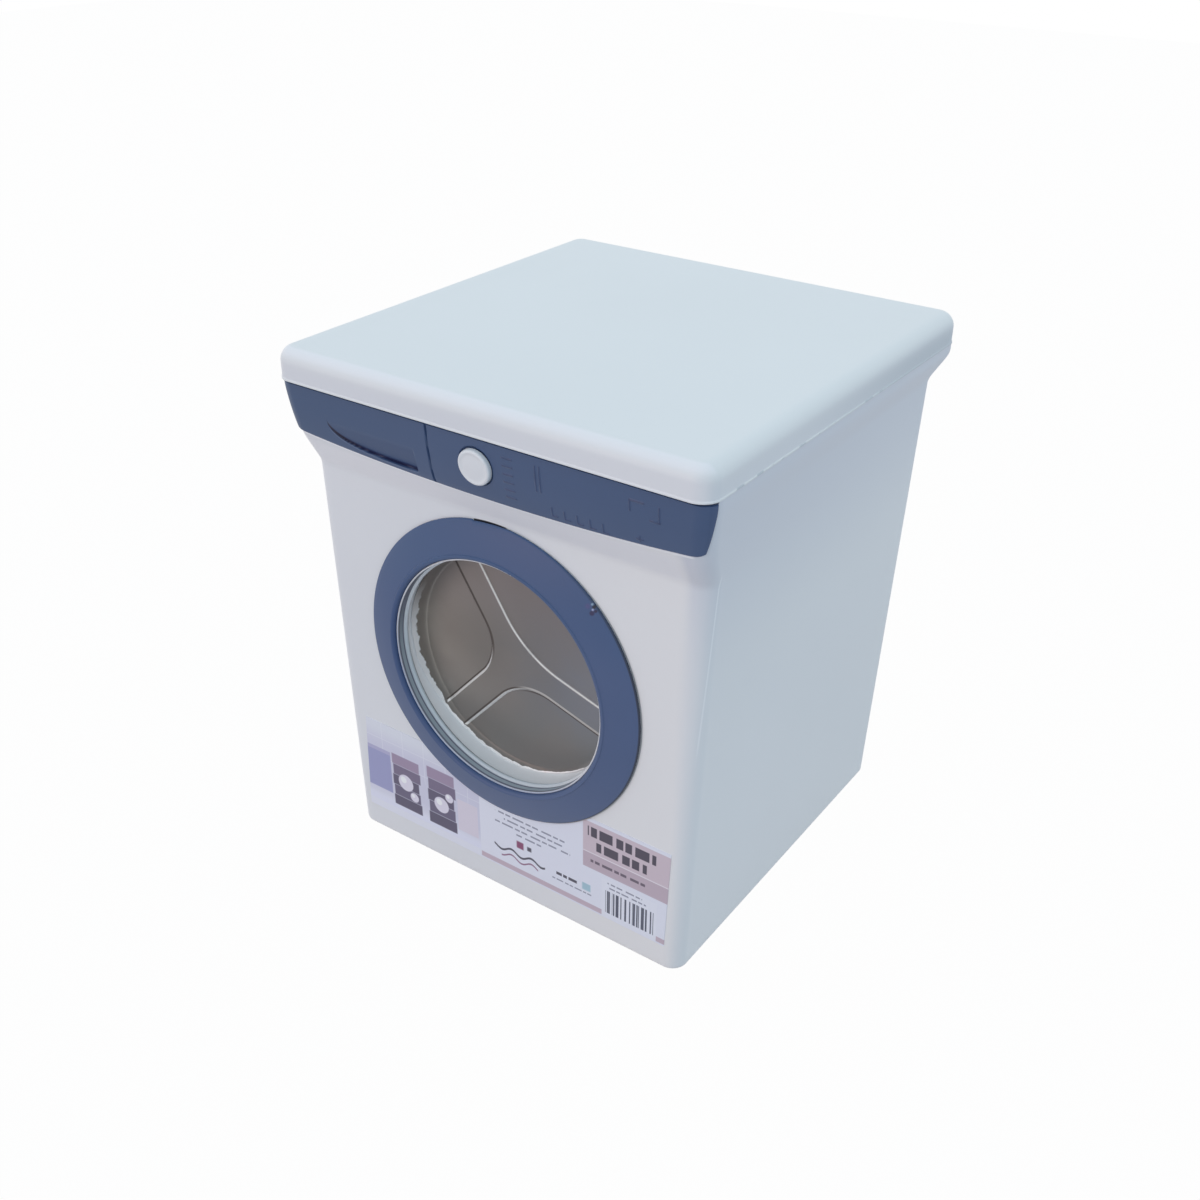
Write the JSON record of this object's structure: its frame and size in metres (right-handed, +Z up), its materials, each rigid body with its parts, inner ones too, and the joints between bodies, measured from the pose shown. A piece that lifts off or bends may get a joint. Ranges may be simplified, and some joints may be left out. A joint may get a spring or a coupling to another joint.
{
  "type": "detergent storage box",
  "caption": "White plastic tub with a lift-off lid for washing powder, shaped like a front-loading washing machine with a porthole ring, control strip and turning dial.",
  "frame": {"origin": "on the floor under the middle of the lid", "axes": "+X to the right seen from the front, -Y out of the front with the porthole, +Z up"},
  "size_m": [0.21, 0.2134, 0.246],
  "materials": {
    "white_shell": "white polypropylene, satin",
    "white_lid": "white polypropylene, satin",
    "blue_strip": "slate blue plastic, satin",
    "white_knob": "white plastic, satin",
    "blue_ring": "slate blue plastic, satin",
    "drum_sheet": "metallised plastic sheet, taupe grey",
    "label_film": "printed adhesive film"
  },
  "bodies": {
    "box": {"tub": "white_shell", "control_strip": "blue_strip", "door_ring": "blue_ring", "drum_plate": "drum_sheet", "front_label": "label_film"},
    "lid": {"lid": "white_lid"},
    "dial": {"dial_knob": "white_knob"}
  },
  "joints": [
    {"name": "lid_lift", "type": "slide", "parent": "box", "child": "lid", "axis": [0, 0, 1], "range_m": [0, 0.04]},
    {"name": "dial_turn", "type": "hinge", "parent": "box", "child": "dial", "pos_m": [0, -0.10284, 0.219], "axis": [0, -0.9906, -0.137], "continuous": true}
  ]
}
